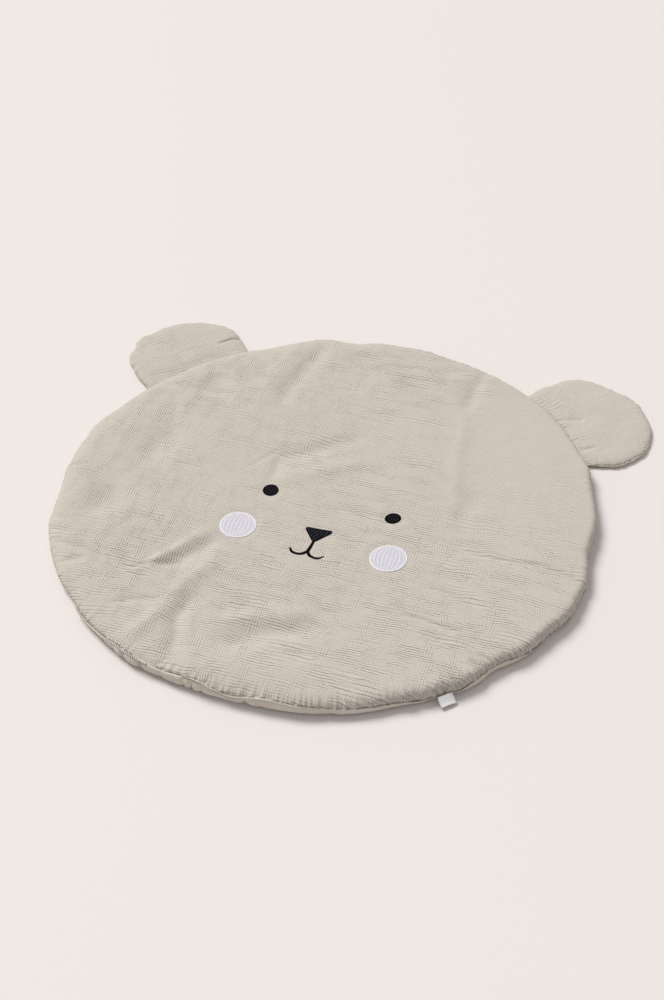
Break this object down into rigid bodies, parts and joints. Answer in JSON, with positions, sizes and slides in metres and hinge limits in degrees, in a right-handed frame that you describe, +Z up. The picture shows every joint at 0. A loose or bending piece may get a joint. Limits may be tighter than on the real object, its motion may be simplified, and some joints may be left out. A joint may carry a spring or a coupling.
{
  "type": "play mat",
  "caption": "Padded floor play mat shaped as a bear's head, with flat ears, a stitched face, a smooth cotton back and a zip along its lower edge.",
  "frame": {"origin": "on the floor, under the middle of the head", "axes": "+Z up out of the mat's front, +Y towards the forehead, +X towards the ear on the viewer's right"},
  "size_m": [1.049, 0.9506, 0.0369],
  "materials": {
    "gauze": "crinkled cotton double gauze, matt, warm pale grey",
    "back_cloth": "smooth plain-woven cotton, matt, warm pale grey",
    "black_thread": "satin stitch in black embroidery thread, soft sheen",
    "white_thread": "rows of white embroidery thread, soft sheen",
    "ribbon": "white woven ribbon, bare",
    "zip_coil": "pale moulded coil"
  },
  "bodies": {
    "root": {"front_panel": "gauze", "back_panel": "back_cloth", "ear_left": "gauze", "ear_left_back": "back_cloth", "ear_right": "gauze", "ear_right_back": "back_cloth", "eye_left": "black_thread", "eye_right": "black_thread", "cheek_left": "white_thread", "cheek_right": "white_thread", "nose": "black_thread", "mouth": "black_thread", "label": "ribbon", "zip_chain": "zip_coil", "zip_flap": "gauze"}
  },
  "joints": []
}
